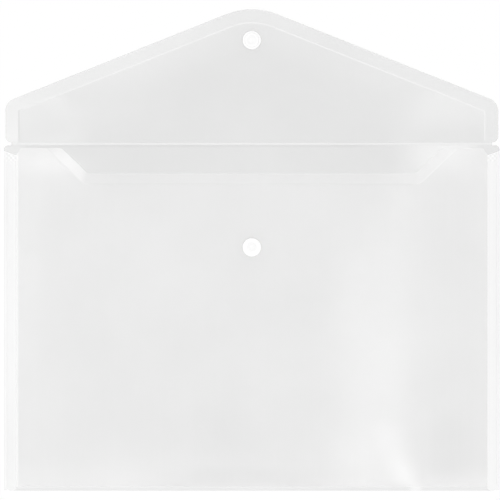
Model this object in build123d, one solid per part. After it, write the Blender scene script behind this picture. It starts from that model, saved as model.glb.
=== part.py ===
from build123d import *
import math
import os

# Film and pocket, in mm
FILM = 0.3
BODY_WIDTH = 335.0
BODY_HEIGHT = 234.0
BODY_CORNER = 3.0
EAR_CORNER = 0.8
POCKET_GAP = 5.5
BAND_WIDTH = 9.0
WELD_WIDTH = 2.0
WELD_GAP = 0.2
SEAM_GAP = 0.05

# Front panel: shoulder tabs, the throat cut between them and the scored line under it
TAB_DROP = 3.2
TAB_CUT_X = 3.0
TAB_CUT_Y = 4.8
TAB_SIDE_ROUND = 0.8
TAB_OUTER_ROUND = 1.5
TAB_INNER_ROUND = 4.0
TAB_WIDTH = 30.5
THROAT_DROP = 20.2
THROAT_RUN = 17.7
THROAT_ROUND = 3.0
THROAT_SCORE_INSET = 7.1
GUSSET_TOP_OUTER = 4.7
GUSSET_TOP_INNER = 8.0
MOUTH_MARGIN = 2.6

# Flap: straight sides, two slants, a round tip and a scored border
FLAP_INSET = 1.0
FLAP_SIDE = 28.2
FLAP_SLANT = 21.7
FLAP_TIP_ROUND = 47.0
FLAP_SHOULDER_ROUND = 9.0
FLAP_FOOT_ROUND = 4.0
FLAP_SCORE_INSET = 9.0
FLAP_SCORE_FOOT = 2.0
SCORE_CORNER = 1.0

# Scored lines, and the coined crease that the flap turns on
SCORE_WIDTH = 0.8
SCORE_DEPTH = 0.1
CREASE_WIDTH = 1.8
GROOVE_DEPTH = 0.15
GROOVE_RADIUS = 0.6

# Press snap: its place, its caps with their riveted posts, the stud and the socket
SNAP_DROP = 69.9
SNAP_RADIUS = 6.2
CAP_HEIGHT = 0.9
CAP_EDGE = 0.5
POST_RADIUS = 1.4
HOLE_GAP = 0.2
POST_GAP = 0.1
FLOOR_HEIGHT = 0.5
RIVET_OVERHANG = 0.6
RIVET_HEIGHT = 0.35
RIVET_GAP = 0.15
FLANGE_HEIGHT = 0.8
FLANGE_EDGE = 0.35
STUD_WALL = 0.8
NECK_HEIGHT = 0.3
NECK_DEPTH = 0.2
BULB_RAMP = 0.25
BULB_BAND = 0.25
BULB_TIP = 0.3
SNAP_GAP = 0.2
LIP_HEIGHT = 0.35
LIP_RAMP = 0.25
LIP_DEPTH = 0.2
SOCKET_WALL = 1.45
SOCKET_DRAFT = 0.3
TIP_GAP = 0.2
COLLAR_EDGE = 0.3
SEAT_GAP = 0.25
PRESSED_GAP = 0.25

# Places that follow: x to the right, y towards the flap, z up from the table
half_width = BODY_WIDTH / 2
bottom_y = -BODY_HEIGHT / 2
crease_y = BODY_HEIGHT / 2
fold_radius = FILM + POCKET_GAP / 2
fold_y = bottom_y + fold_radius
fold_z = fold_radius
front_z = FILM + POCKET_GAP
front_half = half_width - BAND_WIDTH
weld_x = half_width - WELD_WIDTH
hinge_z = FILM - GROOVE_DEPTH + GROOVE_RADIUS
tab_y = crease_y - TAB_DROP
throat_y = crease_y - THROAT_DROP
throat_top_half = front_half - TAB_WIDTH
throat_bottom_half = throat_top_half - THROAT_RUN
throat_slope = math.atan2(tab_y - throat_y, THROAT_RUN)
flap_half = half_width - FLAP_INSET
flap_slope = math.radians(FLAP_SLANT)
stud_y = crease_y - SNAP_DROP

# Sizes of the snap that follow
rivet_radius = POST_RADIUS + RIVET_OVERHANG
stud_radius = rivet_radius + RIVET_GAP + STUD_WALL
stud_rise = NECK_HEIGHT + BULB_RAMP + BULB_BAND + BULB_TIP
lip_radius = stud_radius + SNAP_GAP
socket_height = FLOOR_HEIGHT + stud_rise + TIP_GAP

# How far the front tips in until its tabs lie just above the back panel
tab_reach = tab_y - fold_y
tab_rise = front_z - fold_z
tab_fall = fold_z - FILM - PRESSED_GAP
tab_arm = math.hypot(tab_reach, tab_rise)
press_angle = math.degrees(math.atan2(tab_rise, tab_reach) + math.asin(tab_fall / tab_arm))


def turn(y, z, about_y, about_z, degrees):
    """A point of the side view, turned about another."""
    a = math.radians(degrees)
    dy = y - about_y
    dz = z - about_z
    return about_y + dy * math.cos(a) - dz * math.sin(a), about_z + dy * math.sin(a) + dz * math.cos(a)


# Where the pressed stud stands, so how far the flap folds and where its socket is
seat_rest_z = front_z + FILM + FLANGE_HEIGHT + SEAT_GAP + socket_height
seat_y, seat_z = turn(stud_y, seat_rest_z, fold_y, fold_z, -press_angle)
seat_arm = math.hypot(crease_y - seat_y, seat_z - hinge_z)
face_drop = hinge_z - FILM
closed_rise = math.degrees(math.atan2(seat_z - hinge_z, crease_y - seat_y) - math.asin(face_drop / seat_arm))
socket_y = crease_y + math.sqrt(seat_arm**2 - face_drop**2)

# The open flap lies on its cap, so it slopes up a little from the crease
cap_reach = socket_y - crease_y - SNAP_RADIUS + CAP_EDGE
cap_depth = hinge_z + CAP_HEIGHT - CAP_EDGE
cap_arm = math.hypot(cap_reach, cap_depth)
rest_rise = math.degrees(math.atan2(cap_depth, cap_reach) - math.asin((hinge_z - CAP_EDGE) / cap_arm))
flap_range = 180 - closed_rise - rest_rise

# The gusset's slope, and the length of it that the closed flap covers
gusset_slope = math.atan2(POCKET_GAP, BAND_WIDTH - WELD_WIDTH)
gusset_half = FILM / 2 / math.cos(gusset_slope)
gusset_bend = FILM / 2 * math.tan(gusset_slope / 2)
gusset_end = front_half + SEAM_GAP
mouth_length = FLAP_SIDE + (flap_half - front_half) * math.tan(flap_slope) + MOUTH_MARGIN
beyond = 10 * fold_radius


def outline(points, radii):
    """A flat face with rounded corners."""
    return make_face(FilletPolyline(*points, radius=radii, close=True))


def mirrored(points, radii):
    """A closed outline from its left half."""
    return outline(points + [(-x, y) for x, y in reversed(points)], radii + list(reversed(radii)))


def sheet(face, z):
    """A piece of film lying at a height."""
    return Pos(0, 0, z) * extrude(face, amount=FILM)


def turned(profile, y, z):
    """A round piece from its profile of radius and height."""
    return Pos(0, y, z) * revolve(Plane.XZ * profile, Axis.Z)


def flap_face(inset, foot, foot_round):
    """The flap's outline, or a line parallel to it."""
    side = flap_half - inset
    drop = inset / math.cos(flap_slope)
    shoulder = crease_y + FLAP_SIDE + inset * math.tan(flap_slope) - drop
    tip = crease_y + FLAP_SIDE + flap_half * math.tan(flap_slope) - drop
    shoulder_round = max(FLAP_SHOULDER_ROUND - inset, SCORE_CORNER)
    points = [(-side, foot), (-side, shoulder), (0, tip), (side, shoulder), (side, foot)]
    return outline(points, [foot_round, shoulder_round, FLAP_TIP_ROUND - inset, shoulder_round, foot_round])


def throat_face(grow):
    """A line parallel to the throat's edge, run out past the tabs."""
    shift = grow / math.sin(throat_slope)
    bottom = throat_bottom_half - grow / math.tan(throat_slope) + shift
    top = throat_top_half + grow / math.tan(throat_slope) + shift
    return mirrored([(-bottom, throat_y - grow), (-top, tab_y + grow)], [THROAT_ROUND + grow, 0])


def gusset_z(x):
    """Height of the middle of the gusset's film."""
    return 1.5 * FILM + (weld_x - x) * math.tan(gusset_slope)


def core_x(z):
    """Half the room between the gussets at a height."""
    run = (z + gusset_half - 1.5 * FILM) / math.tan(gusset_slope)
    return weld_x - run - SEAM_GAP / math.sin(gusset_slope)


# Back panel, with an ear at each bottom corner beside the fold
back_points = [
    (-weld_x, fold_y),
    (-weld_x, bottom_y),
    (-half_width, bottom_y),
    (-half_width, crease_y - CREASE_WIDTH / 2),
]
back_panel = sheet(mirrored(back_points, [0, 0, EAR_CORNER, BODY_CORNER]), 0)

# Coined crease between the back panel and the flap
crease_half = min(flap_half - FLAP_FOOT_ROUND, half_width - BODY_CORNER)
crease_groove = Pos(0, crease_y, hinge_z) * Rot(0, 90, 0) * Cylinder(GROOVE_RADIUS, BODY_WIDTH)
flap_crease = Pos(0, crease_y, FILM / 2) * Box(2 * crease_half, CREASE_WIDTH, FILM) - crease_groove

# Rounded fold along the bottom, in two quarter rounds, its ends cut to the slope of the gussets
fold_ring = Circle(fold_radius) - Circle(fold_radius - FILM)
core_low = core_x(-fold_radius)
core_high = core_x(3 * fold_radius)
core_points = [
    (-core_low, -fold_radius),
    (core_low, -fold_radius),
    (core_high, 3 * fold_radius),
    (-core_high, 3 * fold_radius),
]
core = extrude(Plane.XZ * make_face(Polyline(*core_points, close=True)), amount=BODY_HEIGHT, both=True)


def fold_quarter(side):
    """The fold's quarter round on the back panel's side, -1, or the front panel's, 1."""
    quarter = fold_ring & Pos(-fold_radius, side * fold_radius) * Rectangle(2 * fold_radius, 2 * fold_radius)
    bar = extrude(Plane.YZ * Pos(fold_y, fold_z) * quarter, amount=weld_x - WELD_GAP, both=True)
    return bar & core


# Side gusset: a flange welded to the back panel and a slope up to the front panel
gusset_points = [
    (half_width, FILM),
    (weld_x - gusset_bend, FILM),
    (gusset_end, gusset_z(gusset_end) - gusset_half),
    (gusset_end, gusset_z(gusset_end) + gusset_half),
    (weld_x + gusset_bend, 2 * FILM),
    (half_width, 2 * FILM),
]
gusset_bar = extrude(Plane.XZ * make_face(Polyline(*gusset_points, close=True)), amount=crease_y, both=True)
below_fold = Pos(weld_x - beyond / 2, fold_y - beyond / 2, 0) * Box(beyond, beyond, beyond)
fold_round = Pos(weld_x, fold_y, fold_z) * Rot(0, 90, 0) * Cylinder(fold_radius, 3 * beyond)
top_points = [
    (front_half, crease_y - GUSSET_TOP_INNER),
    (half_width, crease_y - GUSSET_TOP_OUTER),
    (half_width, crease_y + beyond),
    (front_half, crease_y + beyond),
]
above_top = extrude(make_face(Polyline(*top_points, close=True)), amount=beyond)
right_strip = gusset_bar - (below_fold - fold_round) - above_top
mouth_zone = Pos(half_width, crease_y - mouth_length / 2, 0) * Box(4 * BAND_WIDTH, mouth_length, beyond)
right_gusset = right_strip - mouth_zone
right_gusset_mouth = right_strip & mouth_zone
left_gusset = mirror(right_gusset, about=Plane.YZ)
left_gusset_mouth = mirror(right_gusset_mouth, about=Plane.YZ)

# Front panel with its throat, the scored line and the hole for the snap
front_points = [
    (-front_half, fold_y + SEAM_GAP),
    (-front_half, tab_y - TAB_CUT_Y),
    (-front_half + TAB_CUT_X, tab_y),
    (-throat_top_half, tab_y),
    (-throat_bottom_half, throat_y),
]
front_rounds = [0, TAB_SIDE_ROUND, TAB_OUTER_ROUND, TAB_INNER_ROUND, THROAT_ROUND]
hole = Cylinder(POST_RADIUS + HOLE_GAP, 4 * FILM)
score = SCORE_WIDTH / 2
throat_line = throat_face(THROAT_SCORE_INSET + score) - throat_face(THROAT_SCORE_INSET - score)
front_panel = sheet(mirrored(front_points, front_rounds), front_z)
front_panel -= sheet(throat_line, front_z + FILM - SCORE_DEPTH)
front_panel -= Pos(0, stud_y, front_z) * hole

# Flap with its scored border, open at the crease
border_foot = crease_y + FLAP_SCORE_FOOT
border_outer = flap_face(FLAP_SCORE_INSET - score, border_foot, 0)
border_inner = flap_face(FLAP_SCORE_INSET + score, border_foot, 0)
flap_flat = sheet(flap_face(0, crease_y + CREASE_WIDTH / 2, FLAP_FOOT_ROUND), 0)
flap_flat -= sheet(border_outer - border_inner, FILM - SCORE_DEPTH)
flap_flat -= Pos(0, socket_y, 0) * hole

# Profile of a cap: head, post through the film and riveted end
post_top = FILM + FLOOR_HEIGHT
cap_points = [
    (0, -CAP_HEIGHT),
    (SNAP_RADIUS, -CAP_HEIGHT),
    (SNAP_RADIUS, 0),
    (POST_RADIUS, 0),
    (POST_RADIUS, post_top),
    (rivet_radius, post_top),
    (rivet_radius, post_top + RIVET_HEIGHT),
    (0, post_top + RIVET_HEIGHT),
]
cap_profile = outline(cap_points, [0, CAP_EDGE] + [0] * 6)

# Profile of the stud: flange, neck and hollow bulb
bulb_z = FLANGE_HEIGHT + NECK_HEIGHT + BULB_RAMP
stud_points = [
    (POST_RADIUS + POST_GAP, 0),
    (SNAP_RADIUS, 0),
    (SNAP_RADIUS, FLANGE_HEIGHT - FLANGE_EDGE),
    (SNAP_RADIUS - FLANGE_EDGE, FLANGE_HEIGHT),
    (stud_radius - NECK_DEPTH, FLANGE_HEIGHT),
    (stud_radius - NECK_DEPTH, FLANGE_HEIGHT + NECK_HEIGHT),
    (stud_radius, bulb_z),
    (stud_radius, bulb_z + BULB_BAND),
    (stud_radius - BULB_TIP, FLANGE_HEIGHT + stud_rise),
    (rivet_radius + RIVET_GAP, FLANGE_HEIGHT + stud_rise),
    (rivet_radius + RIVET_GAP, FLOOR_HEIGHT),
    (POST_RADIUS + POST_GAP, FLOOR_HEIGHT),
]
stud_profile = make_face(Polyline(*stud_points, close=True))

# Profile of the socket: flange, collar and a recess with a lip
socket_points = [
    (POST_RADIUS + POST_GAP, 0),
    (SNAP_RADIUS, 0),
    (SNAP_RADIUS, FLANGE_HEIGHT - FLANGE_EDGE),
    (SNAP_RADIUS - FLANGE_EDGE, FLANGE_HEIGHT),
    (lip_radius + SOCKET_WALL + SOCKET_DRAFT, FLANGE_HEIGHT),
    (lip_radius + SOCKET_WALL, socket_height - COLLAR_EDGE),
    (lip_radius + SOCKET_WALL - COLLAR_EDGE, socket_height),
    (lip_radius, socket_height),
    (lip_radius, socket_height - LIP_HEIGHT),
    (lip_radius + LIP_DEPTH, socket_height - LIP_HEIGHT - LIP_RAMP),
    (lip_radius + LIP_DEPTH, FLOOR_HEIGHT),
    (POST_RADIUS + POST_GAP, FLOOR_HEIGHT),
]
socket_profile = make_face(Polyline(*socket_points, close=True))

# The flap and its snap half, tipped up about the crease
flap_lift = Pos(0, crease_y, hinge_z) * Rot(rest_rise, 0, 0) * Pos(0, -crease_y, -hinge_z)

parts = {
    "back_panel": back_panel,
    "flap_crease": flap_crease,
    "bottom_fold_back": fold_quarter(-1),
    "bottom_fold_front": fold_quarter(1),
    "left_gusset": left_gusset,
    "right_gusset": right_gusset,
    "left_gusset_mouth": left_gusset_mouth,
    "right_gusset_mouth": right_gusset_mouth,
    "front_panel": front_panel,
    "snap_stud": turned(stud_profile, stud_y, front_z + FILM),
    "stud_cap": turned(cap_profile, stud_y, front_z),
    "flap_panel": flap_lift * flap_flat,
    "snap_socket": flap_lift * turned(socket_profile, socket_y, FILM),
    "socket_cap": flap_lift * turned(cap_profile, socket_y, 0),
}

os.makedirs("parts", exist_ok=True)
for name, shape in parts.items():
    shape.label = name
    export_step(shape, f"parts/{name}.step")

print(f"crease at y {crease_y:.3f} z {hinge_z:.3f}, flap turns {flap_range:.3f} deg from {rest_rise:.3f} deg")
print(f"fold at y {fold_y:.3f} z {fold_z:.3f}, front tips {press_angle:.3f} deg")
print(f"stud {SNAP_DROP:.3f} below the crease, socket {socket_y - crease_y:.3f} above it")
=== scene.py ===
import math

import bpy
from mathutils import Matrix, Vector, geometry, kdtree, noise


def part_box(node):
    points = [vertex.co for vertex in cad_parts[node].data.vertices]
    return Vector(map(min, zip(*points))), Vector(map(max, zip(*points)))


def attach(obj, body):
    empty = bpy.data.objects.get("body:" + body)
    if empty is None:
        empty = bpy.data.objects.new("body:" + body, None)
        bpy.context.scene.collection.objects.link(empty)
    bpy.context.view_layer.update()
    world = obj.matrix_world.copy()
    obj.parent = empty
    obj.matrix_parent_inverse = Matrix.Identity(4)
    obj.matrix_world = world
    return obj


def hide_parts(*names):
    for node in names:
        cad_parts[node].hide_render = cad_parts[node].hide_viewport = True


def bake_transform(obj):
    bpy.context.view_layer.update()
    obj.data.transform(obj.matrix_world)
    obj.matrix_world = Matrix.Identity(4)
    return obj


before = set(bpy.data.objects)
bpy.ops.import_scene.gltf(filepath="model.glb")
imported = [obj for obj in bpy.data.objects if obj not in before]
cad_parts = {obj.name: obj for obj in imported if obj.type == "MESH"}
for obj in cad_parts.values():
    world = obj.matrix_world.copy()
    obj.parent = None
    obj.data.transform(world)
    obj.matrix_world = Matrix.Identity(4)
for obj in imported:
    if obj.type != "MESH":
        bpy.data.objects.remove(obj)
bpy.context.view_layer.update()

# Everything is worked out in millimetres in the frame's axes, and scaled once when a mesh is made
MM = 0.001


def box_mm(node):
    """A node's lowest and highest corners in millimetres."""
    low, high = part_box(node)
    return low / MM, high / MM


# Sizes that the frame gives
back_low, back_high = box_mm("back_panel")
front_low, front_high = box_mm("front_panel")
crease_low, crease_high = box_mm("flap_crease")
stud_low, stud_high = box_mm("snap_stud")
FILM = back_high.z - back_low.z
half_width = back_high.x
bottom_y = back_low.y
fold_radius = box_mm("bottom_fold_front")[1].z / 2
fold_y = bottom_y + fold_radius
front_half = front_high.x
front_top = front_high.z
tab_y = front_high.y
crease_y = (crease_low.y + crease_high.y) / 2
crease_half = crease_high.x
crease_width = crease_high.y - crease_low.y
stud_y = (stud_low.y + stud_high.y) / 2

# Outlines of the film
WELD_WIDTH = 2.0
EAR_CORNER = 0.8
BODY_CORNER = 3.0
TAB_CUT_X = 3.0
TAB_CUT_Y = 4.8
TAB_SIDE_ROUND = 0.8
TAB_OUTER_ROUND = 1.5
TAB_INNER_ROUND = 4.0
TAB_WIDTH = 30.5
THROAT_DROP = 20.2
THROAT_RUN = 17.7
THROAT_ROUND = 3.0
GUSSET_TOP_OUTER = 4.7
GUSSET_TOP_INNER = 8.0
FLAP_HALF = half_width - 1.0
FLAP_SIDE = 28.2
FLAP_SLANT = math.radians(21.7)
FLAP_TIP_ROUND = 47.0
FLAP_SHOULDER_ROUND = 9.0
FLAP_LEAST_ROUND = 1.0
FLAP_FOOT_ROUND = 4.0
FLAP_TILT = math.radians(0.803)
HINGE_Z = 0.75
SOCKET_REACH = 69.949
HOLE_RADIUS = 1.6

# Scored lines, with their groove in half widths from the middle and shares of the depth
THROAT_SCORE_INSET = 7.1
THROAT_SCORE_END = 0.2
FLAP_SCORE_INSET = 9.0
FLAP_SCORE_FOOT = 3.0
SCORE_WIDTH = 0.7
SCORE_DEPTH = 0.035
SCORE_GROOVE = ((1, 0.5), (2, 0.0), (3, 0.0))
SCORE_SLOPE = math.tan(math.radians(1.5))

# Steps of the meshes
RUN = 5.0
SCORE_RUN = 4.0
ARC_TURN = math.radians(9)
SHEET_PITCH = 5.0
BACK_PITCH = 6.0
ROW_SHIFT = 0.25
CLEAR_SHARE = 0.55
HOLE_SIDES = 32
INSIDE_ONLY = 1
SAME_POINT = 1e-4
TOUCH = 0.01

weld_x = half_width - WELD_WIDTH
throat_y = crease_y - THROAT_DROP
throat_top_half = front_half - TAB_WIDTH
throat_bottom_half = throat_top_half - THROAT_RUN
throat_slope = math.atan2(tab_y - throat_y, THROAT_RUN)
socket_y = crease_y + SOCKET_REACH
stud_hole = Vector((0, stud_y))
socket_hole = Vector((0, socket_y))

flap_lift = (
    Matrix.Translation((0, crease_y, HINGE_Z))
    @ Matrix.Rotation(FLAP_TILT, 4, "X")
    @ Matrix.Translation((0, -crease_y, -HINGE_Z))
)


def ease(low, high, value):
    """0 before low, 1 after high and a smooth step between."""
    t = min(1.0, max(0.0, (value - low) / (high - low)))
    return t * t * (3 - 2 * t)


def band(low, full, fall, high, value):
    """0 below low and above high, 1 from full to fall, and smooth steps between."""
    return ease(low, full, value) * ease(high, fall, value)


def waves(p, rows):
    """Smooth ripples at a point, from (height, length, seed) rows."""
    total = 0.0
    for height, length, seed in rows:
        total += height * noise.noise(Vector((p.x / length, p.y / length, seed)))
    return total


def steps(count):
    """Shares from 0 to 1 in a number of equal steps."""
    return [k / count for k in range(count + 1)]


def mirror(corners):
    """The (x, y, radius) corners on the other side, in the order that carries a line on."""
    return [(-x, y, radius) for x, y, radius in reversed(corners)]


def divided(start, end, run):
    """Points after start, up to and with end, no more than a run apart."""
    count = max(1, math.ceil((end - start).length / run))
    return [start.lerp(end, (i + 1) / count) for i in range(count)]


def rounded(corners, closed=True, run=RUN, turn=ARC_TURN):
    """A line through (x, y, radius) corners, as points along its runs and arcs."""
    arcs = []
    last = len(corners) - 1
    for i, (x, y, radius) in enumerate(corners):
        here = Vector((x, y))
        if radius == 0 or (not closed and i in (0, last)):
            arcs.append([here])
            continue
        back = (Vector(corners[i - 1][:2]) - here).normalized()
        ahead = (Vector(corners[(i + 1) % len(corners)][:2]) - here).normalized()
        half = back.angle(ahead) / 2
        centre = here + (back + ahead).normalized() * radius / math.sin(half)
        first = here + back * radius / math.tan(half) - centre
        sweep = math.pi - 2 * half
        side = 1 if back.x * ahead.y - back.y * ahead.x < 0 else -1
        count = max(2, math.ceil(sweep / turn))
        turns = [Matrix.Rotation(side * sweep * k / count, 2) for k in range(count + 1)]
        arcs.append([centre + turned_by @ first for turned_by in turns])
    points = list(arcs[0])
    for arc in arcs[1:]:
        points += divided(points[-1], arc[0], run) + arc[1:]
    if closed:
        points += divided(points[-1], points[0], run)[:-1]
    return points


def away(point, line):
    """Distance from a point to an open line of points."""
    nearest = math.inf
    for a, b in zip(line, line[1:]):
        on = geometry.intersect_point_line(point, a, b)
        share = min(1.0, max(0.0, on[1]))
        nearest = min(nearest, (point - a.lerp(b, share)).length)
    return nearest


def circle(centre, radius, sides):
    """Points round a circle."""
    turns = [2 * math.pi * i / sides for i in range(sides)]
    return [centre + radius * Vector((math.cos(a), math.sin(a))) for a in turns]


def staggered(low, columns, rows, step):
    """Points of a grid whose rows are shifted in turn."""
    for j in rows:
        shift = ROW_SHIFT if j % 2 else -ROW_SHIFT
        for i in columns:
            yield Vector((low.x + (i + shift) * step, low.y + j * step))


# Material slots of the film
OUTER, INNER, EDGE, BACK = range(4)


def make_object(name, points, faces, slots, white=None, smooth_angle=35):
    """A mesh object from points in millimetres, with a material slot for each face."""
    mesh = bpy.data.meshes.new(name)
    mesh.from_pydata([[c * MM for c in p] for p in points], [], faces)
    mesh.polygons.foreach_set("material_index", slots)
    mesh.polygons.foreach_set("use_smooth", [True] * len(faces))
    mesh.set_sharp_from_angle(angle=math.radians(smooth_angle))
    mark = mesh.attributes.new("white", "FLOAT", "POINT")
    mark.data.foreach_set("value", white or [0.0] * len(points))
    mesh.update()
    obj = bpy.data.objects.new(name, mesh)
    bpy.context.scene.collection.objects.link(obj)
    return obj


# Share and mark of a point with no groove
PLAIN = (0.0, 0.0)


def sheet_points(outline, scores, hole, pitch, fine):
    """Points of a sheet, the share and mark of each, and the edges that its triangles keep."""
    points = list(outline)
    marks = [PLAIN] * len(outline)
    edges = [(i, (i + 1) % len(outline)) for i in range(len(outline))]
    for line, share, mark in scores:
        first = len(points)
        points += line
        marks += [(share, mark(p)) for p in line]
        edges += [(first + i, first + i + 1) for i in range(len(line) - 1)]
    if hole:
        first = len(points)
        points += circle(hole, HOLE_RADIUS, HOLE_SIDES)
        edges += [(first + i, first + (i + 1) % HOLE_SIDES) for i in range(HOLE_SIDES)]
    near = kdtree.KDTree(len(points))
    for i, p in enumerate(points):
        near.insert(p.to_3d(), i)
    near.balance()
    low = Vector((min(p.x for p in outline), min(p.y for p in outline)))
    high = Vector((max(p.x for p in outline), max(p.y for p in outline)))
    columns = range(1, math.ceil((high.x - low.x) / pitch))
    rows = range(1, math.ceil((high.y - low.y) / pitch))
    for p in staggered(low, columns, rows, pitch):
        closer = fine and fine[0].x < p.x < fine[1].x and fine[0].y < p.y < fine[1].y
        if near.find(p.to_3d())[2] > CLEAR_SHARE * pitch and not closer:
            points.append(p)
    if fine:
        low, high, step = fine
        columns = range(int((high.x - low.x) / step) + 1)
        rows = range(int((high.y - low.y) / step) + 1)
        points += staggered(low, columns, rows, step)
    marks += [PLAIN] * (len(points) - len(marks))
    return points, marks, edges


def film_sheet(
    name, outline, scores, hole, lie, outer_up, joined, tint, pitch=SHEET_PITCH, place=None, fine=None
):
    """A closed thin sheet inside an outline, with a hole or none.

    scores are (line, share, mark) rows: a share of the groove's depth, and the same share of the shade
    mark(point) over the film's own. lie(point) is the height of the upper face, joined(point) tells the
    rim that meets other film, tint(point) whitens the film or, below 0, darkens it, and fine is a box
    (low, high, pitch) with closer points.
    """
    points, marks, edges = sheet_points(outline, scores, hole, pitch, fine)
    flat, _, triangles, source, _, _ = geometry.delaunay_2d_cdt(points, edges, [], INSIDE_ONLY, SAME_POINT)
    if hole:
        centres = [sum((flat[i] for i in t), Vector((0, 0))) / 3 for t in triangles]
        triangles = [t for t, c in zip(triangles, centres) if (c - hole).length > HOLE_RADIUS]
    used = sorted({i for t in triangles for i in t})
    index = {old: new for new, old in enumerate(used)}
    faces = []
    for t in triangles:
        a, b, c = (index[i] for i in t)
        pa, pb, pc = (flat[i] for i in t)
        up = (pb - pa).x * (pc - pa).y - (pb - pa).y * (pc - pa).x > 0
        faces.append((a, b, c) if up else (a, c, b))
    white = []
    top = []
    for i in used:
        p = flat[i]
        share, mark = max((marks[s] for s in source[i]), default=PLAIN)
        shade = tint(p)
        white.append(shade + share * (mark - shade))
        top.append(Vector((p.x, p.y, lie(p) - SCORE_DEPTH * share)))
    low = [Vector((p.x, p.y, p.z - FILM)) for p in top]
    count = len(top)
    sides = [pair for f in faces for pair in zip(f, f[1:] + f[:1])]
    known = set(sides)
    rim = [(b, a, a + count, b + count) for a, b in sides if (b, a) not in known]
    under = [(a + count, c + count, b + count) for a, b, c in faces]
    upper, lower = (OUTER, INNER) if outer_up else (INNER, OUTER)
    slots = [upper] * len(faces) + [lower] * len(under)
    slots += [OUTER if joined(top[f[0]]) and joined(top[f[1]]) else EDGE for f in rim]
    verts = top + low
    if place:
        verts = [place @ v for v in verts]
    return make_object(name, verts, faces + under + rim, slots, white + white)


def score_lines(path, mark):
    """A scored line: its middle, its fainter flanks and the flat film beside them."""
    half = SCORE_WIDTH / 2
    lines = [(path(0.0), 1.0, mark)]
    for side in (-1, 1):
        for reach, share in SCORE_GROOVE:
            lines.append((path(reach * side * half), share, mark))
    return lines


def guide(start, end):
    """A straight line with no groove, where the film's shade changes."""
    return [start] + divided(start, end, RUN), 0.0, lambda p: 0.0


# Back panel, flat on the table, with ripples that start away from its edges
BACK_LIFT = 0.14
BACK_WAVES = [(0.14, 55, 3.1)]
BACK_SIDE_CALM = 25
BACK_TOP_CALM = 6
BACK_FOOT_CALM = 20

# Its film is whiter near the tops of the gussets, with a painted highlight at the right one, and a painted
# shade line under the crease
BACK_WHITE_Y = (88, 112)
BACK_RIGHT_HIGHLIGHT = 0.45
BACK_RIGHT_X = (92, 122, 146, 153)
BACK_LEFT_WHITE = 0.18
BACK_LEFT_X = (-148, -156)
CREASE_PAINTED_SHADE = 0.18
CREASE_PAINTED_SHADE_X = (100, 60)
CREASE_PAINTED_SHADE_Y = (crease_low.y - 1.7, crease_low.y - 1.1)

back_corners = [
    (-weld_x, fold_y, 0),
    (-weld_x, bottom_y, 0),
    (-half_width, bottom_y, EAR_CORNER),
    (-half_width, crease_low.y, BODY_CORNER),
]
back_outline = rounded(back_corners + mirror(back_corners))


def back_lie(p):
    """The back panel lies flat, with faint ripples away from its edges."""
    inside = ease(0, BACK_SIDE_CALM, half_width - abs(p.x))
    inside *= ease(0, BACK_TOP_CALM, crease_low.y - p.y)
    inside *= ease(0, BACK_FOOT_CALM, p.y - fold_y)
    return FILM + inside * (BACK_LIFT + waves(p, BACK_WAVES))


def back_tint(p):
    """The film is whiter near the gussets' tops, most of all at the right one's, which is a painted
    highlight, and has painted shade under the crease.
    """
    right = BACK_RIGHT_HIGHLIGHT * band(*BACK_RIGHT_X, p.x)
    left = BACK_LEFT_WHITE * ease(*BACK_LEFT_X, p.x)
    dark = CREASE_PAINTED_SHADE * ease(*CREASE_PAINTED_SHADE_Y, p.y) * ease(*CREASE_PAINTED_SHADE_X, p.x)
    return ease(*BACK_WHITE_Y, p.y) * (right + left) - dark


def back_joined(p):
    """The back panel runs on into the crease and the bottom fold."""
    return p.y > crease_low.y - TOUCH or (p.y < fold_y + TOUCH and abs(p.x) < weld_x + TOUCH)


# Guide lines that bound the painted shade under the crease
crease_shade_half = half_width - BODY_CORNER
back_lines = [guide(Vector((-crease_shade_half, y)), Vector((crease_shade_half, y))) for y in CREASE_PAINTED_SHADE_Y]
back = film_sheet(
    "back_film", back_outline, back_lines, None, back_lie, False, back_joined, back_tint, pitch=BACK_PITCH,
)
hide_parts("back_panel")

# Front panel, bowed a little, with the lip of its throat bent along the scored line
FRONT_WAVES = [(0.1, 95, 0.4), (0.02, 32, 5.7)]
FRONT_SIDE_CALM = 16
FRONT_FOOT_CALM = 9
FRONT_TOP_CALM = 60
LIP_SIDE_CALM = 12
SNAP_CALM = (9, 26)

# Its painted light, more towards the top with a dimmer middle, at its low corners and at its right edge, as
# amounts and where they start and are full
FRONT_PAINTED_LIGHT = 0.11
FRONT_PAINTED_LIGHT_Y = (-84, -36)
PAINTED_LIGHT_GAP = 0.8
PAINTED_LIGHT_GAP_MIDDLE = 10
PAINTED_LIGHT_GAP_REACH = (80, 20)
PAINTED_LIGHT_GAP_Y = (25, -25)
LOW_PAINTED_LIGHTS = [(0.2, (-50, -90), (-95, -108)), (0.38, (104, 120), (-99, -112))]
RIGHT_PAINTED_LIGHT = 0.08
RIGHT_PAINTED_LIGHT_X = (148, 156)

# White fold down its left side
SIDE_FOLD = 1.4
SIDE_FOLD_SOFT = 0.3
SIDE_FOLD_END = 0.3
SIDE_FOLD_WHITE = 0.85

# White of the throat's line on the slants, with painted shade along its bottom, and painted highlight on the
# lip, which is on the slants
SLANT_LINE_X = (throat_bottom_half - 4, throat_bottom_half + 2)
RIGHT_LINE_WHITE = 0.84
LEFT_LINE_WHITE = 0.44
THROAT_LINE_SHADE = 0.1
LIP_MARGIN = 0.1
RIGHT_LIP_HIGHLIGHT = 0.35
LEFT_LIP_HIGHLIGHT = 0.8
LEFT_LIP_HIGHLIGHT_LOSS = 0.4
LEFT_LIP_X = (throat_bottom_half, throat_bottom_half + 6)
LEFT_LIP_Y = (tab_y - 6, tab_y - 2)

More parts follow.
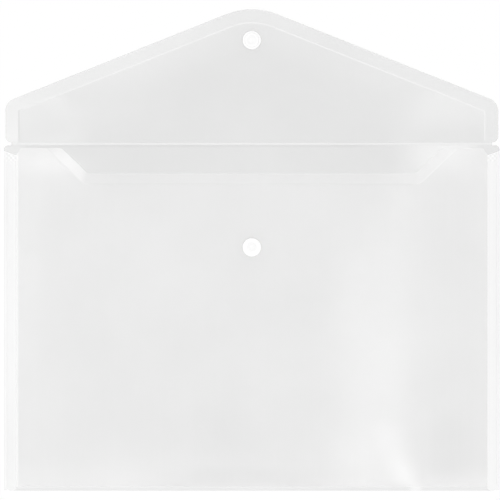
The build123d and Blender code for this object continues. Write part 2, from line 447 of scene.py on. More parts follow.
# Low buckle that rises from the bottom fold as a leaf, with a width and a growth on each side, and a painted
# highlight along its ridge
LEAF_FOOT = Vector((110.3, -116.8))
LEAF_LEAN = 0.56
LEAF_BEND = 0.0027
LEAF_RIGHT = (12, 0.25)
LEAF_LEFT = (14, 0.1)
LEAF_HEIGHT = 52.0
LEAF_FADE = 10
LEAF_RISE = 0.1
LEAF_FOOT_CALM = 2
LEAF_HIGHLIGHT = 0.75
LEAF_HIGHLIGHT_LOSS = 0.5
LEAF_HIGHLIGHT_FADE = (6, 32)
LEAF_BOX = (Vector((72, -112.5)), Vector((122, -64)), 1.6)

# Painted shade in patches on the front panel: how dark, across and up, and a low arc
PAINTED_SHADE_PATCHES = [
    (0.17, (118, 125, 132, 154), (-114, -104, -76, -56)),
    (0.08, (-154, -124, -10, 20), (-100, -86, -70, -56)),
]
ARC_PAINTED_SHADE = 0.17
ARC_X = (-52, -34, 10, 28)
ARC_MIDDLE = -8
ARC_CURVE = 0.004
ARC_TOP = -98
ARC_LOW = -113
ARC_SOFT = 3.5

front_left = [
    (-front_half, front_low.y, 0),
    (-front_half, tab_y - TAB_CUT_Y, TAB_SIDE_ROUND),
    (-front_half + TAB_CUT_X, tab_y, TAB_OUTER_ROUND),
    (-throat_top_half, tab_y, TAB_INNER_ROUND),
    (-throat_bottom_half, throat_y, THROAT_ROUND),
]
front_outline = rounded(front_left + mirror(front_left))
throat_left = front_left[3:]
throat_edge = rounded(throat_left + mirror(throat_left), closed=False)


def throat_path(shift):
    """The scored line under the throat, up to the top of each tab."""
    grow = THROAT_SCORE_INSET + shift
    bottom = throat_bottom_half - grow / math.tan(throat_slope) + grow / math.sin(throat_slope)
    end = tab_y - THROAT_SCORE_END
    rise = end - throat_y + grow
    left = [
        (-bottom - rise / math.tan(throat_slope), end, 0),
        (-bottom, throat_y - grow, THROAT_ROUND + grow),
    ]
    return rounded(left + mirror(left), closed=False, run=SCORE_RUN)


def throat_mark(p):
    """The throat's line is white up its slants, more so on the right, and has a faint painted shade along its
    bottom.
    """
    right, left = (ease(*SLANT_LINE_X, x) for x in (p.x, -p.x))
    return RIGHT_LINE_WHITE * right + LEFT_LINE_WHITE * left - THROAT_LINE_SHADE


def leaf(p):
    """How much of the buckle is at a point, from 0 to 1 on its ridge, and how far up the point is."""
    up = p.y - LEAF_FOOT.y
    off = p.x - LEAF_FOOT.x + LEAF_LEAN * up - LEAF_BEND * up * up
    width, growth = LEAF_RIGHT if off > 0 else LEAF_LEFT
    across = ease(width + growth * up, 0, abs(off))
    return across * ease(LEAF_HEIGHT, LEAF_HEIGHT - LEAF_FADE, up), up


def painted_shade(p):
    """How much painted shade darkens the front panel in its patches and its low arc."""
    patches = [dark * band(*across, p.x) * band(*up, p.y) for dark, across, up in PAINTED_SHADE_PATCHES]
    top = ARC_TOP - ARC_CURVE * (p.x - ARC_MIDDLE) ** 2
    arc = ARC_PAINTED_SHADE * band(*ARC_X, p.x) * band(ARC_LOW, ARC_LOW + ARC_SOFT, top - ARC_SOFT, top, p.y)
    return max(*patches, arc)


def front_tint(p):
    """Faint painted light towards the top, at the low corners and the right edge, white down the left side's
    fold, painted highlights on the slants of the throat's lip and along the buckle, and painted shade.
    """
    if p.x < -front_half + SIDE_FOLD + SIDE_FOLD_SOFT / 2:
        return SIDE_FOLD_WHITE
    middle = ease(*PAINTED_LIGHT_GAP_REACH, abs(p.x - PAINTED_LIGHT_GAP_MIDDLE)) * ease(*PAINTED_LIGHT_GAP_Y, p.y)
    painted_light = FRONT_PAINTED_LIGHT * ease(*FRONT_PAINTED_LIGHT_Y, p.y) * (1 - PAINTED_LIGHT_GAP * middle)
    for amount, across, up in LOW_PAINTED_LIGHTS:
        painted_light += amount * ease(*across, p.x) * ease(*up, p.y)
    painted_light += RIGHT_PAINTED_LIGHT * ease(*RIGHT_PAINTED_LIGHT_X, p.x)
    share, height = leaf(p)
    # Painted highlight along the buckle's ridge
    ridge = (LEAF_HIGHLIGHT - LEAF_HIGHLIGHT_LOSS * ease(*LEAF_HIGHLIGHT_FADE, height)) * share
    # Painted highlight on the slants of the throat's lip
    lip = 0.0
    if p.y > 0 and away(p, throat_edge) < THROAT_SCORE_INSET - LIP_MARGIN:
        left_lip_highlight = LEFT_LIP_HIGHLIGHT - LEFT_LIP_HIGHLIGHT_LOSS * ease(*LEFT_LIP_Y, p.y)
        lip = RIGHT_LIP_HIGHLIGHT * ease(*SLANT_LINE_X, p.x) + left_lip_highlight * ease(*LEFT_LIP_X, -p.x)
    return max(painted_light, ridge, lip) - painted_shade(p)


def front_lie(p):
    """The front panel bows and buckles a little between its folds and its snap."""
    side = front_half - abs(p.x)
    foot = p.y - front_low.y
    free = ease(0, FRONT_SIDE_CALM, side) * ease(0, FRONT_FOOT_CALM, foot)
    free *= ease(*SNAP_CALM, (p - stud_hole).length)
    lift = max(0.0, THROAT_SCORE_INSET - away(p, throat_edge)) * SCORE_SLOPE
    bend = free * waves(p, FRONT_WAVES) * ease(0, FRONT_TOP_CALM, tab_y - p.y)
    bend += lift * ease(0, LIP_SIDE_CALM, side)
    return front_top + bend + LEAF_RISE * leaf(p)[0] * ease(0, LEAF_FOOT_CALM, foot)


def front_joined(p):
    """The front panel runs on into the gussets and the bottom fold."""
    return p.y < front_low.y + TOUCH or abs(p.x) > front_half - TOUCH


front_lines = score_lines(throat_path, throat_mark)
for inset in (SIDE_FOLD, SIDE_FOLD + SIDE_FOLD_SOFT):
    side_low = Vector((-front_half + inset, front_low.y + SIDE_FOLD_END))
    side_high = Vector((-front_half + inset, tab_y - TAB_CUT_Y - SIDE_FOLD_END))
    front_lines.append(guide(side_low, side_high))
front = film_sheet(
    "front_film", front_outline, front_lines, stud_hole, front_lie, True, front_joined, front_tint,
    fine=LEAF_BOX,
)
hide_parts("front_panel")

# Flap, flat in its own plane and then tipped up about the crease
FLAP_LIFT = 0.2
FLAP_WAVES = [(0.25, 70, 8.3), (0.1, 30, 2.2)]
FLAP_FOOT_CALM = 45
SHOULDER_RISE = 0.8
SHOULDER_X = (70, 165)
BORDER_BEND_UP = (8, 30)

# Painted highlight on its border, whiter film inside it and at its foot, and the marks of the border's line,
# with painted shade down the left side
BORDER_HIGHLIGHT = 0.1
BORDER_LEFT = 0.26
BORDER_LEFT_X = (40, -165)
BORDER_FAR_LEFT = 0.06
BORDER_FAR_LEFT_X = (-152, -158)
BORDER_RIGHT = 0.13
BORDER_RIGHT_X = (40, 140)
BORDER_RIGHT_UP = (0, 28)
NEAR_WHITE = 0.13
NEAR_LEFT_WHITE = 0.07
NEAR_LEFT_X = (0, -90)
NEAR_REACH = 26
NEAR_UP = (8, 40)
FOOT_LEFT_WHITE = 0.15
FOOT_LEFT_X = (-40, -140)
FOOT_RIGHT_WHITE = 0.26
FOOT_RIGHT_X = (75, 140)
FOOT_UP = (2, 22, 30, 60)
LINE_SIDE_SHADE = -0.25
LINE_SHOULDER = 0.36
LINE_SLANT = 0.58
LINE_SHOULDER_X = -140


def flap_corners(inset, foot, foot_round):
    """Corners of the flap's outline, or of a line parallel to it."""
    side = FLAP_HALF - inset
    drop = inset / math.cos(FLAP_SLANT)
    shoulder = crease_y + FLAP_SIDE + inset * math.tan(FLAP_SLANT) - drop
    tip = crease_y + FLAP_SIDE + FLAP_HALF * math.tan(FLAP_SLANT) - drop
    bend = max(FLAP_SHOULDER_ROUND - inset, FLAP_LEAST_ROUND)
    left = [(-side, foot, foot_round), (-side, shoulder, bend)]
    return left + [(0, tip, FLAP_TIP_ROUND - inset)] + mirror(left)


flap_outline = rounded(flap_corners(0, crease_high.y, FLAP_FOOT_ROUND))
flap_edge = rounded(flap_corners(0, crease_high.y, 0), closed=False)


def flap_path(shift):
    """The scored border of the flap."""
    corners = flap_corners(FLAP_SCORE_INSET + shift, crease_y + FLAP_SCORE_FOOT, 0)
    return rounded(corners, closed=False, run=SCORE_RUN)


def flap_lie(p):
    """The flap bows up a little towards its shoulders, and its border bends down along the scored line."""
    up = p.y - crease_high.y
    rise = ease(0, FLAP_FOOT_CALM, up)
    free = rise * ease(*SNAP_CALM, (p - socket_hole).length)
    shoulder = SHOULDER_RISE * ease(*SHOULDER_X, abs(p.x)) * rise
    border = max(0.0, FLAP_SCORE_INSET - away(p, flap_edge)) * SCORE_SLOPE * ease(*BORDER_BEND_UP, up)
    return FILM + free * (FLAP_LIFT + waves(p, FLAP_WAVES)) + shoulder - border


def flap_tint(p):
    """The border has a painted highlight, most of all on the left, and the film near it and at its foot is
    whiter.
    """
    inset = away(p, flap_edge)
    up = p.y - crease_y
    if inset < FLAP_SCORE_INSET:
        left = BORDER_LEFT * ease(*BORDER_LEFT_X, p.x) + BORDER_FAR_LEFT * ease(*BORDER_FAR_LEFT_X, p.x)
        right = BORDER_RIGHT * ease(*BORDER_RIGHT_X, p.x) * ease(*BORDER_RIGHT_UP, up)
        return BORDER_HIGHLIGHT + left + right
    near = NEAR_WHITE + NEAR_LEFT_WHITE * ease(*NEAR_LEFT_X, p.x)
    near *= ease(FLAP_SCORE_INSET + NEAR_REACH, FLAP_SCORE_INSET, inset) * ease(*NEAR_UP, up)
    foot = FOOT_LEFT_WHITE * ease(*FOOT_LEFT_X, p.x) + FOOT_RIGHT_WHITE * ease(*FOOT_RIGHT_X, p.x)
    return max(near, foot * band(*FOOT_UP, up))


def flap_mark(p):
    """The border's line is white along the slants and down the right side, and has a painted shade line down
    the left side.
    """
    if p.x < -FLAP_HALF + FLAP_SCORE_INSET + SCORE_WIDTH:
        return LINE_SIDE_SHADE
    return LINE_SLANT if p.x > LINE_SHOULDER_X else LINE_SHOULDER


def flap_joined(p):
    """The flap runs on into the crease."""
    return p.y < crease_high.y + TOUCH


flap_lines = score_lines(flap_path, flap_mark)
flap = film_sheet(
    "flap_film", flap_outline, flap_lines, socket_hole, flap_lie, False, flap_joined, flap_tint,
    place=flap_lift,
)
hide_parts("flap_panel")


def skin(name, section, places, path, shares, white, rims):
    """A closed thin strip.

    section(t) gives an outer and an inner point at each of its places, path(point, s) runs them along
    the shares of its length, white(t, point) whitens it, and rims are the material slots of its start,
    its end and its two long edges.
    """
    stations = [section(t) for t in places]
    points = []
    whites = []
    for face in range(2):
        for s in shares:
            for t, pair in zip(places, stations):
                points.append(path(pair[face], s))
                whites.append(white(t, points[-1]))
    last = len(shares) - 1
    width = len(stations)
    side = width * len(shares)
    faces = []
    for k in range(last):
        for j in range(width - 1):
            a = k * width + j
            faces.append((a, a + 1, a + width + 1, a + width))
    slots = [OUTER] * len(faces) + [INNER] * len(faces)
    faces += [tuple(i + side for i in reversed(f)) for f in faces]
    for j in range(width - 1):
        faces.append((j + 1, j, j + side, j + 1 + side))
        a = last * width + j
        faces.append((a, a + 1, a + 1 + side, a + side))
        slots += rims[:2]
    for k in range(last):
        a = k * width
        b = a + width
        faces.append((a, b, b + side, a + side))
        a += width - 1
        b += width - 1
        faces.append((b, a, a + side, b + side))
        slots += rims[2:]
    return make_object(name, points, faces, slots, whites)


# Coined crease that the flap turns on, with a whitened groove along its middle
GROOVE_RADIUS = 0.6
CREASE_ROWS = 12
CREASE_COLUMNS = 66
CREASE_WHITE = 0.46
CREASE_WHITE_REACH = (0.7, 0.15)


def crease_section(t):
    """Outer and inner points of the crease, as (y, z)."""
    y = crease_low.y + crease_width * t
    off = abs(y - crease_y)
    top = FILM
    if off < GROOVE_RADIUS:
        top = min(FILM, HINGE_Z - math.sqrt(GROOVE_RADIUS**2 - off**2))
    return Vector((y, 0)), Vector((y, top))


def crease_path(point, s):
    """The crease runs straight from side to side."""
    return crease_half * (2 * s - 1), point.x, point.y


def crease_white(t, point):
    """The groove is white."""
    return CREASE_WHITE * ease(*CREASE_WHITE_REACH, abs(point[1] - crease_y))


long_rims = [EDGE, EDGE, OUTER, OUTER]
crease = skin(
    "crease_film", crease_section, steps(CREASE_ROWS), crease_path, steps(CREASE_COLUMNS), crease_white,
    long_rims,
)
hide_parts("flap_crease")

# Rounded fold along the bottom, its ends cut to the slope of the gussets
SECTION_ROWS = 15
FOLD_COLUMNS = 165
FOLD_OVERLAP = 0.15
# Painted highlight where the buckle's highlight runs out over the fold
FOLD_HIGHLIGHT = 0.6
FOLD_HIGHLIGHT_TURN = (0.5, 0.6)
FOLD_HIGHLIGHT_REACH = (6.0, 1.0)
flange_z = 1.5 * FILM
gusset_slope = math.atan2(front_top - FILM / 2 - flange_z, weld_x - front_half)


def fold_section(t):
    """Outer and inner points of the fold, as (y, z) from its centre."""
    a = math.radians(-90 - 180 * t)
    turn = Vector((math.cos(a), math.sin(a)))
    return fold_radius * turn, (fold_radius - FILM) * turn


def fold_path(point, s):
    """The fold runs from one gusset to the other."""
    z = fold_radius + point.y
    reach = weld_x + FOLD_OVERLAP - max(0.0, z - FILM) / math.tan(gusset_slope)
    return reach * (2 * s - 1), fold_y + point.x, z


def fold_highlight(t, point):
    """The painted highlight at the foot of the buckle runs out over the fold."""
    return FOLD_HIGHLIGHT * ease(*FOLD_HIGHLIGHT_TURN, t) * ease(*FOLD_HIGHLIGHT_REACH, abs(point[0] - LEAF_FOOT.x))


fold = skin(
    "fold_film", fold_section, steps(SECTION_ROWS), fold_path, steps(FOLD_COLUMNS), fold_highlight, long_rims,
)
for face in fold.data.polygons:
    if face.material_index == OUTER and face.center.z < fold_radius * MM:
        face.material_index = BACK
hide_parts("bottom_fold_back", "bottom_fold_front")

# Side gussets: welded flange, then a slope that bulges a little up to the front panel
FLANGE_SHARE = 0.2
FLANGE_EDGE = 0.1
GUSSET_BULGE = 0.35
HEAD_GAP = 0.05
SECTION_STEP = 0.02
LONG_SHARE = 0.96
LONG_COLUMNS = 50
TOP_COLUMNS = 16

# Ribs of the weld at their tops, the white of flange, slope and ribs, and painted shade in the dips between
# the ribs
CRUMPLE_RUN = 8.0
CRUMPLE_FULL = 0.6 * CRUMPLE_RUN
CRUMPLE_DEPTH = 0.32
CRUMPLE_PITCH = 3.2
CRUMPLE_SIDE = 1.5
CRUMPLE_Z = (0.4, 2.0)
FLANGE_WHITE = 0.3
SLOPE_START = (0.8 * FLANGE_SHARE, 1.6 * FLANGE_SHARE)
SLOPE_WHITE = 0.8
LEFT_LOW_LOSS = 0.2
LEFT_LOW_Y = (-40, -85)
RIB_RUN = (CRUMPLE_RUN, 0.8 * CRUMPLE_RUN)
RIB_WHITE = 1.0
RIB_DIP_SHADE = 1.8


def gusset_middle(t):
    """Middle of the right gusset's film, as (x, z)."""
    if t < FLANGE_SHARE:
        return Vector((half_width + (weld_x - half_width) * t / FLANGE_SHARE, flange_z))
    v = (t - FLANGE_SHARE) / (1 - FLANGE_SHARE)
    foot = Vector((weld_x, flange_z))
    head = Vector((front_half + HEAD_GAP, front_top - FILM / 2))
    out = Vector((math.sin(gusset_slope), math.cos(gusset_slope)))
    return foot.lerp(head, v) + out * GUSSET_BULGE * math.sin(math.pi * v) * v


def gusset_section(t):
    """Outer and inner points of the right gusset, as (x, z)."""
    here = gusset_middle(t)
    ahead = gusset_middle(min(1.0, t + SECTION_STEP))
    behind = gusset_middle(max(0.0, t - SECTION_STEP))
    along = (ahead - behind).normalized()
    out = Vector((along.y, -along.x))
    return here + out * FILM / 2, here - out * FILM / 2


def hatch(x, y):
    """Crossed ribs of the weld, from 0 to 1."""
    return 0.5 + 0.25 * sum(math.sin(2 * math.pi * (x + turn * y) / CRUMPLE_PITCH) for turn in (-1, 1))


def gusset_path(side):
    """How a gusset runs from the round of the fold up to its slanted top."""

    def run(point, s):
        x, z = point
        dip = fold_radius**2 - (z - fold_radius) ** 2
        low = fold_y - math.sqrt(max(0.0, dip)) if x < weld_x - FLANGE_EDGE else bottom_y
        across = (x - front_half) / (half_width - front_half)
        high = crease_y - GUSSET_TOP_INNER + (GUSSET_TOP_INNER - GUSSET_TOP_OUTER) * across
        y = low + (high - low) * s
        weld = ease(CRUMPLE_RUN, CRUMPLE_FULL, high - y) * ease(weld_x, weld_x - CRUMPLE_SIDE, x)
        return side * x, y, z - CRUMPLE_DEPTH * weld * ease(*CRUMPLE_Z, z) * hatch(x, y)

    return run


def gusset_white(t, point):
    """The slope is whiter than the flange, and ribbed white at the weld of its top, with painted shade in the
    ribs' dips.
    """
    x, y, _ = point
    slope = FLANGE_WHITE + (1 - FLANGE_WHITE) * ease(*SLOPE_START, t)
    weld = ease(*RIB_RUN, crease_y - GUSSET_TOP_OUTER - y)
    low = LEFT_LOW_LOSS * ease(*LEFT_LOW_Y, y) if x < 0 else 0.0
    return slope * (SLOPE_WHITE - low + weld * (RIB_WHITE - RIB_DIP_SHADE * hatch(abs(x), y)))


gusset_shares = [LONG_SHARE * s for s in steps(LONG_COLUMNS)]
gusset_shares += [LONG_SHARE + (1 - LONG_SHARE) * s for s in steps(TOP_COLUMNS)[1:]]
gusset_rims = [OUTER, EDGE, EDGE, OUTER]
gussets = []
for side_name, side in (("left", -1), ("right", 1)):
    gusset = skin(
        f"{side_name}_gusset_film", gusset_section, steps(SECTION_ROWS), gusset_path(side), gusset_shares,
        gusset_white, gusset_rims,
    )
    if side < 0:
        gusset.data.flip_normals()
    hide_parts(f"{side_name}_gusset", f"{side_name}_gusset_mouth")
    gussets.append((gusset, side))

# Press snap: turned pieces, rounder than the solids that they stand for
SNAP_RADIUS = 6.2
SNAP_SIDES = 72
SNAP_RUN = 3.0
SNAP_TURN = math.radians(18)
SNAP_SMOOTH = 50
CAP_HEIGHT = 0.9
CAP_DISH = 3.4
CAP_RIM = 4.0
POST_RADIUS = 1.4
FLOOR_HEIGHT = 0.5
RIVET_RADIUS = 2.0
RIVET_HEIGHT = 0.35
RIVET_DISH = 0.15
FLANGE_HEIGHT = 0.8
STUD_RADIUS = 2.95
STUD_HEIGHT = 1.9
WELL_RADIUS = 4.6
LIP_RADIUS = 3.15
SOCKET_HEIGHT = 1.8
bore = POST_RADIUS + 0.1
well_z = FLANGE_HEIGHT - 0.12
neck = STUD_RADIUS - 0.2
hollow = RIVET_RADIUS + 0.15
recess = LIP_RADIUS + 0.2
rivet_low = FILM + FLOOR_HEIGHT
rivet_high = rivet_low + RIVET_HEIGHT
ON_AXIS = 1e-6


def turned(name, corners, y, z, place=None):
    """A round piece from the (radius, height, round) corners of its profile."""
    points = []
    rings = []
    for p in rounded(corners, run=SNAP_RUN, turn=SNAP_TURN):
        first = len(points)
        if p.x < ON_AXIS:
            rings.append([first] * SNAP_SIDES)
            points.append(Vector((0, y, z + p.y)))
            continue
        rings.append(list(range(first, first + SNAP_SIDES)))
        points += [Vector((q.x, q.y, z + p.y)) for q in circle(Vector((0, y)), p.x, SNAP_SIDES)]
    faces = []
    for ring, following in zip(rings, rings[1:] + rings[:1]):
        for k in range(SNAP_SIDES):
            n = (k + 1) % SNAP_SIDES
            loop = list(dict.fromkeys((ring[k], ring[n], following[n], following[k])))
            if len(loop) > 2:
                faces.append(tuple(loop))
    if place:
        points = [place @ p for p in points]
    return make_object(name, points, faces, [OUTER] * len(faces), smooth_angle=SNAP_SMOOTH)


cap_corners = [
    (0, -CAP_HEIGHT + 0.08, 0),
    (CAP_DISH, -CAP_HEIGHT + 0.06, 0.3),
    (CAP_RIM, -CAP_HEIGHT, 0.4),
    (SNAP_RADIUS, -CAP_HEIGHT, 0.5),
    (SNAP_RADIUS, 0, 0.12),
    (POST_RADIUS, 0, 0),
    (POST_RADIUS, rivet_low, 0),
    (RIVET_RADIUS, rivet_low, 0.08),
    (RIVET_RADIUS, rivet_high, 0.16),
    (0.9, rivet_high, 0.15),
    (0.6, rivet_high - RIVET_DISH, 0.1),
    (0, rivet_high - RIVET_DISH, 0),
]
stud_corners = [
    (bore, 0, 0),
    (SNAP_RADIUS, 0, 0.1),
    (SNAP_RADIUS, FLANGE_HEIGHT, 0.35),
    (WELL_RADIUS, FLANGE_HEIGHT, 0.2),
    (WELL_RADIUS - 0.2, well_z, 0.15),
    (neck, well_z, 0.1),
    (neck, FLANGE_HEIGHT + 0.3, 0.1),
    (STUD_RADIUS, FLANGE_HEIGHT + 0.55, 0.15),
    (STUD_RADIUS, FLANGE_HEIGHT + 0.8, 0.15),
    (STUD_RADIUS - 0.3, STUD_HEIGHT, 0.15),
    (hollow, STUD_HEIGHT, 0.1),
    (hollow, FLOOR_HEIGHT, 0.08),
    (bore, FLOOR_HEIGHT, 0),
]
socket_corners = [
    (bore, 0, 0),
    (SNAP_RADIUS, 0, 0.1),
    (SNAP_RADIUS, FLANGE_HEIGHT, 0.35),
    (LIP_RADIUS + 1.75, FLANGE_HEIGHT, 0.2),
    (LIP_RADIUS + 1.45, SOCKET_HEIGHT, 0.35),
    (LIP_RADIUS, SOCKET_HEIGHT, 0.15),
    (LIP_RADIUS, SOCKET_HEIGHT - 0.35, 0.1),
    (recess, SOCKET_HEIGHT - 0.6, 0.1),
    (recess, FLOOR_HEIGHT, 0.1),
    (bore, FLOOR_HEIGHT, 0),
]
snaps = [
    (turned("stud_cap_piece", cap_corners, stud_y, front_low.z), "stud_cap", "front"),
    (turned("stud_piece", stud_corners, stud_y, front_top), "snap_stud", "front"),
    (turned("socket_cap_piece", cap_corners, socket_y, 0, flap_lift), "socket_cap", "flap"),
    (turned("socket_piece", socket_corners, socket_y, FILM, flap_lift), "snap_socket", "flap"),
]
for piece, node, body in snaps:
    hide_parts(node)


# Nodes of the materials and the world
def adder(tree):
    """A way to add nodes to a tree, with links or values for their inputs."""

    def add(kind, links=None, **values):
        node = tree.nodes.new(kind)
        for key, value in values.items():
            setattr(node, key, value)
        for socket, source in (links or {}).items():
            if isinstance(source, bpy.types.NodeSocket):
                tree.links.new(source, node.inputs[socket])
            else:
                node.inputs[socket].default_value = source
        return node

    return add


def new_material(name):
    """A node material with its tree, its shader and a way to add nodes."""
    material = bpy.data.materials.new(name)
    material.use_nodes = True
    tree = material.node_tree
    return material, tree, tree.nodes["Principled BSDF"], adder(tree)


def speckle(add, place, scale, detail):
    """Noise over a surface."""
    return add("ShaderNodeTexNoise", {"Vector": place, "Scale": scale, "Detail": detail}).outputs["Fac"]


def spread(add, value, taken, given, **values):
    """A value with the range that is taken spread over the one that is given."""
    ends = {"From Min": taken[0], "From Max": taken[1], "To Min": given[0], "To Max": given[1]}
    return add("ShaderNodeMapRange", {"Value": value, **ends}, **values).outputs["Result"]


def worked(add, operation, first, second):
    """Two values worked out into one."""
    return add("ShaderNodeMath", {0: first, 1: second}, operation=operation).outputs[0]


# Film, with scales of its patterns per metre
CLOUD_SCALE = 14.0
DRAWN_SCALE = (420.0, 6.0, 6.0)
DRAWN_SHARE = 0.12
GRAIN_SCALE = 2600.0
GRAIN_HEIGHT = 0.00005
WORN_SCALE = 40.0
TONE_RANGE = (0.4, 0.85)
WORN_RANGE = (0.3, 0.7)
FILM_IOR = 1.49


def film_material(name, tones, alpha, rough, white, grain):
    """Extruded film: cloudy tone, faint draw lines, matte grain, and the white attribute: white at its bends,
    painted highlights and painted shade.
    """
    material, tree, shader, add = new_material(name)
    place = add("ShaderNodeTexCoord").outputs["Object"]
    cloud = speckle(add, place, CLOUD_SCALE, 3.0)
    stretched = add("ShaderNodeMapping", {"Vector": place, "Scale": DRAWN_SCALE}).outputs["Vector"]
    lines = speckle(add, stretched, 1.0, 2.0)
    drawn = worked(add, "MULTIPLY", lines, DRAWN_SHARE)
    tone = spread(add, worked(add, "ADD", cloud, drawn), TONE_RANGE, tones)
    # The white attribute: white at bends and scores, painted light and highlights, and painted shade below 0
    bent_white_and_painted_light = add("ShaderNodeAttribute", attribute_name="white").outputs["Fac"]
    shades = {"Factor": worked(add, "MULTIPLY", bent_white_and_painted_light, white), "A": tone, "B": 1.0}
    colour = add("ShaderNodeMix", shades, clamp_factor=False).outputs["Result"]
    tree.links.new(colour, shader.inputs["Base Color"])
    gloss = spread(add, speckle(add, place, WORN_SCALE, 4.0), WORN_RANGE, rough)
    tree.links.new(gloss, shader.inputs["Roughness"])
    height = worked(add, "ADD", speckle(add, place, GRAIN_SCALE, 2.0), lines)
    bump = add("ShaderNodeBump", {"Height": height, "Strength": grain, "Distance": GRAIN_HEIGHT})
    tree.links.new(bump.outputs["Normal"], shader.inputs["Normal"])
    shader.inputs["IOR"].default_value = FILM_IOR
    shader.inputs["Alpha"].default_value = alpha
    return material


film_outer = film_material(
    "film_outer", tones=(0.872, 0.912), alpha=0.53, rough=(0.075, 0.1), white=1.0, grain=0.03,
)
film_inner = film_material(
    "film_inner", tones=(0.22, 0.28), alpha=0.175, rough=(0.075, 0.1), white=1.0, grain=0.03,
)
film_gusset = film_material(
    "film_gusset", tones=(0.87, 0.91), alpha=0.93, rough=(0.18, 0.26), white=0.8, grain=0.05,
)
film_fold = film_material(
    "film_fold", tones=(0.802, 0.842), alpha=0.95, rough=(0.18, 0.26), white=0.8, grain=0.03,
)
film_edge = film_material(
    "film_edge", tones=(0.76, 0.82), alpha=0.92, rough=(0.3, 0.4), white=0.5, grain=0.03,
)

# White plastic of the snap
SNAP_CLOUD_SCALE = 300.0
SNAP_GRAIN_SCALE = 3000.0
SNAP_GRAIN_HEIGHT = 0.00003
SNAP_GRAIN = 0.15
SNAP_TONES = (0.97, 1.0)
SNAP_ROUGH = (0.2, 0.26)
FULL_RANGE = (0.0, 1.0)

snap_white, snap_tree, snap_shader, snap_add = new_material("snap_white")
snap_place = snap_add("ShaderNodeTexCoord").outputs["Object"]
snap_cloud = speckle(snap_add, snap_place, SNAP_CLOUD_SCALE, 3.0)
snap_fine = speckle(snap_add, snap_place, SNAP_GRAIN_SCALE, 2.0)
snap_grain = {"Height": snap_fine, "Strength": SNAP_GRAIN, "Distance": SNAP_GRAIN_HEIGHT}
snap_inputs = {
    "Base Color": spread(snap_add, snap_cloud, FULL_RANGE, SNAP_TONES),
    "Roughness": spread(snap_add, snap_cloud, FULL_RANGE, SNAP_ROUGH),
    "Normal": snap_add("ShaderNodeBump", snap_grain).outputs["Normal"],
}
for socket, source in snap_inputs.items():
    snap_tree.links.new(source, snap_shader.inputs[socket])


def dress(piece, materials, stops_diffuse):
    """Gives film its materials. Film casts no shadow, and some of it lets diffuse light through."""
    for material in materials:
        piece.data.materials.append(material)
    piece.visible_shadow = False
    piece.visible_diffuse = stops_diffuse


for sheet in (back, flap, crease):
    dress(sheet, (film_outer, film_inner, film_edge), True)
dress(front, (film_outer, film_inner, film_edge), False)
dress(fold, (film_fold, film_inner, film_edge, film_outer), False)
for gusset, side in gussets:
    dress(gusset, (film_gusset, film_inner, film_edge), False)
for piece, node, body in snaps:
    piece.data.materials.append(snap_white)
    piece.visible_diffuse = False
    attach(piece, body)
for sheet, body in ((back, "pocket"), (fold, "pocket"), (front, "front"), (flap, "flap")):
    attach(sheet, body)
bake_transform(crease)
for gusset, side in gussets:
    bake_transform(gusset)

# Floor and world, in metres: white to the camera and in reflections, and plain light for the rest
WHITE = (1, 1, 1, 1)
FLOOR_REACH = 4.0
FLOOR_Z = -0.0003
FLOOR_COLOUR = (0.9, 0.9, 0.9, 1)
FLOOR_ROUGH = 0.9
FLOOR_GLOW = 1.01
FLOOR_GLOW_SHARE = 0.9
PLAIN_LIGHT = 0.91
WALL_RISE = (0.1, 0.9)
WALL_LIGHT = (0.7, 1.0)


def seen(add, share):
    """The share where the camera or a reflection looks at a surface, and 0 for other light."""
    path = add("ShaderNodeLightPath").outputs
    mirrored = worked(add, "MAXIMUM", path["Is Camera Ray"], path["Is Glossy Ray"])
    looked_at = worked(add, "MAXIMUM", mirrored, path["Is Transmission Ray"])
    return worked(add, "MULTIPLY", looked_at, share)


floor_corners = [(x * FLOOR_REACH, y * FLOOR_REACH, 0) for x, y in ((-1, -1), (1, -1), (1, 1), (-1, 1))]
floor_mesh = bpy.data.meshes.new("floor")
floor_mesh.from_pydata(floor_corners, [], [(0, 1, 2, 3)])
floor = bpy.data.objects.new("floor", floor_mesh)
floor.location.z = FLOOR_Z
bpy.context.scene.collection.objects.link(floor)
floor_material, floor_tree, floor_shader, floor_add = new_material("floor")
floor_shader.inputs["Base Color"].default_value = FLOOR_COLOUR
floor_shader.inputs["Roughness"].default_value = FLOOR_ROUGH
floor_shader.inputs["Specular IOR Level"].default_value = 0.0
floor_glow = floor_add("ShaderNodeEmission", {"Color": WHITE, "Strength": FLOOR_GLOW})
floor_layers = {0: seen(floor_add, FLOOR_GLOW_SHARE), 1: floor_shader.outputs[0], 2: floor_glow.outputs[0]}
floor_mix = floor_add("ShaderNodeMixShader", floor_layers).outputs[0]
floor_tree.links.new(floor_mix, floor_tree.nodes["Material Output"].inputs["Surface"])
floor_mesh.materials.append(floor_material)

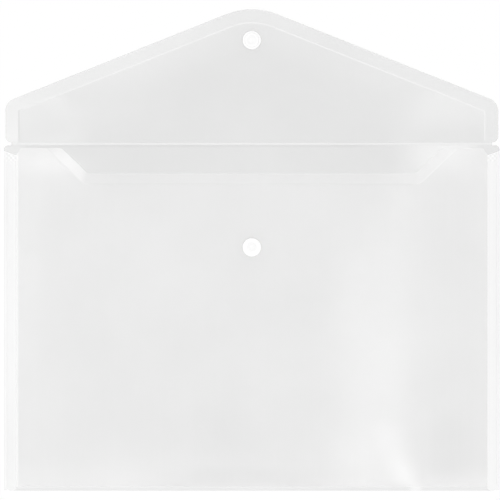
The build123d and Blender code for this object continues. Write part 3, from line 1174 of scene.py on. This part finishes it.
# White overhead, and a pale grey wall towards the horizon
world = bpy.data.worlds.new("studio")
bpy.context.scene.world = world
world.use_nodes = True
world_tree = world.node_tree
world_add = adder(world_tree)
plain = world_tree.nodes["Background"]
plain.inputs["Color"].default_value = WHITE
plain.inputs["Strength"].default_value = PLAIN_LIGHT
direction = world_add("ShaderNodeTexCoord").outputs["Generated"]
overhead = world_add("ShaderNodeSeparateXYZ", {0: direction}).outputs["Z"]
wall = spread(world_add, overhead, WALL_RISE, WALL_LIGHT, interpolation_type="SMOOTHSTEP")
shown = world_add("ShaderNodeBackground", {"Color": WHITE, "Strength": wall})
world_layers = {0: seen(world_add, 1.0), 1: plain.outputs[0], 2: shown.outputs[0]}
world_mix = world_add("ShaderNodeMixShader", world_layers).outputs[0]
world_tree.links.new(world_mix, world_tree.nodes["World Output"].inputs["Surface"])

# Camera straight above, with the picture's height up the frame's y axis
VIEW_WIDTH = 0.338
VIEW_CENTRE = Vector((-0.0012, 0.0453, 0.0))
LENS = 120.0
SENSOR = 36.0
camera_data = bpy.data.cameras.new("camera")
camera_data.lens = LENS
camera_data.sensor_width = SENSOR
camera = bpy.data.objects.new("camera", camera_data)
camera.location = VIEW_CENTRE + Vector((0, 0, VIEW_WIDTH * LENS / SENSOR))
bpy.context.scene.collection.objects.link(camera)
bpy.context.scene.camera = camera

# Key lamp, and soft lamps that the film mirrors: place from the camera, size and radiance
KEY_PLACE = (-0.2, -0.7, 1.4)
KEY_SIZE = (1.0, 1.0)
KEY_RADIANCE = 0.9
SOFT_LAMPS = {
    "low_box": ((0.165, -0.122), (0.088, 0.23), 1.6),
    "low_core": ((0.173, -0.169), (0.054, 0.122), 1.7),
    "foot_box": ((0.164, -0.286), (0.104, 0.1), 2.6),
    "tail_box": ((0.206, 0.044), (0.03, 0.13), 2.0),
    "left_box": ((-0.27, 0.122), (0.08, 0.032), 5.4),
    "left_strip": ((-0.305, -0.03), (0.04, 0.25), 1.5),
    "right_box": ((0.263, 0.13), (0.1, 0.045), 1.2),
    "top_box": ((0, 0.345), (0.55, 0.11), 1.2),
}


def lamp(name, place, size, radiance):
    """A rectangular soft lamp that faces down, and shows as bright as its radiance."""
    data = bpy.data.lights.new(name, "AREA")
    data.shape = "RECTANGLE"
    data.size, data.size_y = size
    data.energy = radiance * math.pi * size[0] * size[1]
    obj = bpy.data.objects.new(name, data)
    obj.location = place
    bpy.context.scene.collection.objects.link(obj)
    return obj


key = lamp("key", KEY_PLACE, KEY_SIZE, KEY_RADIANCE)
key.rotation_euler = (-key.location).to_track_quat("-Z", "Y").to_euler()
for name, (place, size, radiance) in SOFT_LAMPS.items():
    lamp(name, camera.location + Vector((*place, 0)), size, radiance)

bpy.context.scene.view_settings.view_transform = "Standard"
